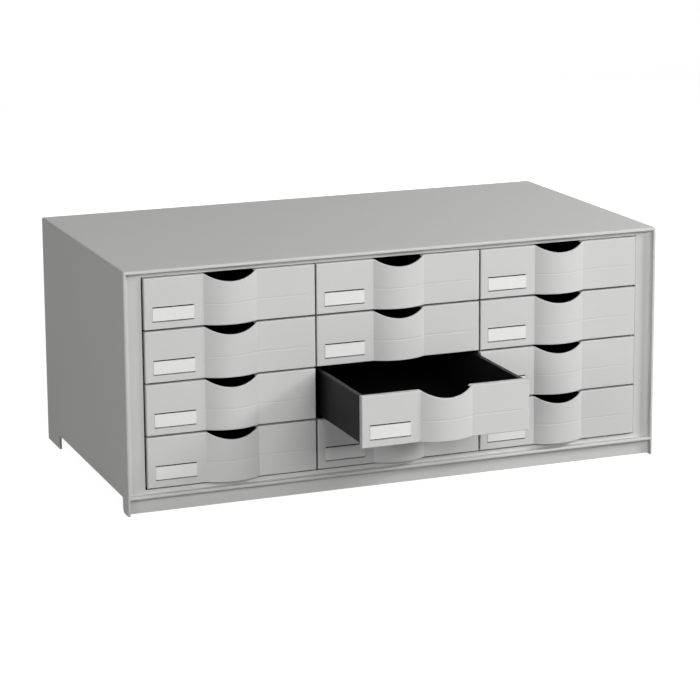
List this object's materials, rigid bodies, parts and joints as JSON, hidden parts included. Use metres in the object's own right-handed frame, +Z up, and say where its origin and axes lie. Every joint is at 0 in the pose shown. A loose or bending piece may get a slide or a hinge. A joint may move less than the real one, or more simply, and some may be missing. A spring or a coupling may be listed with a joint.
{
  "type": "desktop drawer unit",
  "caption": "Low wide desktop casing with shallow letter drawers in a grid of columns and rows, each with a bowed front, a finger notch and a label insert.",
  "frame": {"origin": "on the desk, under the middle of the whole object's box at rest, with the open drawer counted in the box", "axes": "+X to the right along the width, seen from the front; +Y from the drawer fronts towards the back; +Z up"},
  "size_m": [0.745, 0.5616, 0.3166],
  "materials": {
    "casing_plastic": "fine satin, light grey",
    "front_plastic": "fine satin, light grey",
    "tray_plastic": "smooth black",
    "inner_plastic": "black, matt",
    "label_card": "blank white card, semi-matt"
  },
  "bodies": {
    "casing": {"top_panel": "casing_plastic", "left_side_panel": "casing_plastic", "right_side_panel": "casing_plastic", "front_frame": "casing_plastic", "base_panel": "casing_plastic", "back_panel": "casing_plastic", "plinth": "casing_plastic", "inner_wall_1": "inner_plastic", "inner_wall_2": "inner_plastic", "inner_wall_3": "inner_plastic", "inner_wall_4": "inner_plastic", "column_1_left_ledges": "inner_plastic", "column_1_right_ledges": "inner_plastic", "column_2_left_ledges": "inner_plastic", "column_2_right_ledges": "inner_plastic", "column_3_left_ledges": "inner_plastic", "column_3_right_ledges": "inner_plastic"},
    "drawer_r1c1": {"drawer_front_r1c1": "front_plastic", "tray_r1c1": "tray_plastic", "label_insert_r1c1": "label_card"},
    "drawer_r1c2": {"drawer_front_r1c2": "front_plastic", "tray_r1c2": "tray_plastic", "label_insert_r1c2": "label_card"},
    "drawer_r1c3": {"drawer_front_r1c3": "front_plastic", "tray_r1c3": "tray_plastic", "label_insert_r1c3": "label_card"},
    "drawer_r2c1": {"drawer_front_r2c1": "front_plastic", "tray_r2c1": "tray_plastic", "label_insert_r2c1": "label_card"},
    "drawer_r2c2": {"drawer_front_r2c2": "front_plastic", "tray_r2c2": "tray_plastic", "label_insert_r2c2": "label_card"},
    "drawer_r2c3": {"drawer_front_r2c3": "front_plastic", "tray_r2c3": "tray_plastic", "label_insert_r2c3": "label_card"},
    "drawer_r3c1": {"drawer_front_r3c1": "front_plastic", "tray_r3c1": "tray_plastic", "label_insert_r3c1": "label_card"},
    "drawer_r3c2": {"drawer_front_r3c2": "front_plastic", "tray_r3c2": "tray_plastic", "label_insert_r3c2": "label_card"},
    "drawer_r3c3": {"drawer_front_r3c3": "front_plastic", "tray_r3c3": "tray_plastic", "label_insert_r3c3": "label_card"},
    "drawer_r4c1": {"drawer_front_r4c1": "front_plastic", "tray_r4c1": "tray_plastic", "label_insert_r4c1": "label_card"},
    "drawer_r4c2": {"drawer_front_r4c2": "front_plastic", "tray_r4c2": "tray_plastic", "label_insert_r4c2": "label_card"},
    "drawer_r4c3": {"drawer_front_r4c3": "front_plastic", "tray_r4c3": "tray_plastic", "label_insert_r4c3": "label_card"}
  },
  "joints": [
    {"name": "drawer_r1c1_slide", "type": "slide", "parent": "casing", "child": "drawer_r1c1", "axis": [0, -1, 0], "range_m": [0, 0.25]},
    {"name": "drawer_r1c2_slide", "type": "slide", "parent": "casing", "child": "drawer_r1c2", "axis": [0, -1, 0], "range_m": [0, 0.25]},
    {"name": "drawer_r1c3_slide", "type": "slide", "parent": "casing", "child": "drawer_r1c3", "axis": [0, -1, 0], "range_m": [0, 0.25]},
    {"name": "drawer_r2c1_slide", "type": "slide", "parent": "casing", "child": "drawer_r2c1", "axis": [0, -1, 0], "range_m": [0, 0.25]},
    {"name": "drawer_r2c2_slide", "type": "slide", "parent": "casing", "child": "drawer_r2c2", "axis": [0, -1, 0], "range_m": [0, 0.25]},
    {"name": "drawer_r2c3_slide", "type": "slide", "parent": "casing", "child": "drawer_r2c3", "axis": [0, -1, 0], "range_m": [0, 0.25]},
    {"name": "drawer_r3c1_slide", "type": "slide", "parent": "casing", "child": "drawer_r3c1", "axis": [0, -1, 0], "range_m": [0, 0.25]},
    {"name": "drawer_r3c2_slide", "type": "slide", "parent": "casing", "child": "drawer_r3c2", "axis": [0, -1, 0], "range_m": [-0.155, 0.095]},
    {"name": "drawer_r3c3_slide", "type": "slide", "parent": "casing", "child": "drawer_r3c3", "axis": [0, -1, 0], "range_m": [0, 0.25]},
    {"name": "drawer_r4c1_slide", "type": "slide", "parent": "casing", "child": "drawer_r4c1", "axis": [0, -1, 0], "range_m": [0, 0.25]},
    {"name": "drawer_r4c2_slide", "type": "slide", "parent": "casing", "child": "drawer_r4c2", "axis": [0, -1, 0], "range_m": [0, 0.25]},
    {"name": "drawer_r4c3_slide", "type": "slide", "parent": "casing", "child": "drawer_r4c3", "axis": [0, -1, 0], "range_m": [0, 0.25]}
  ]
}
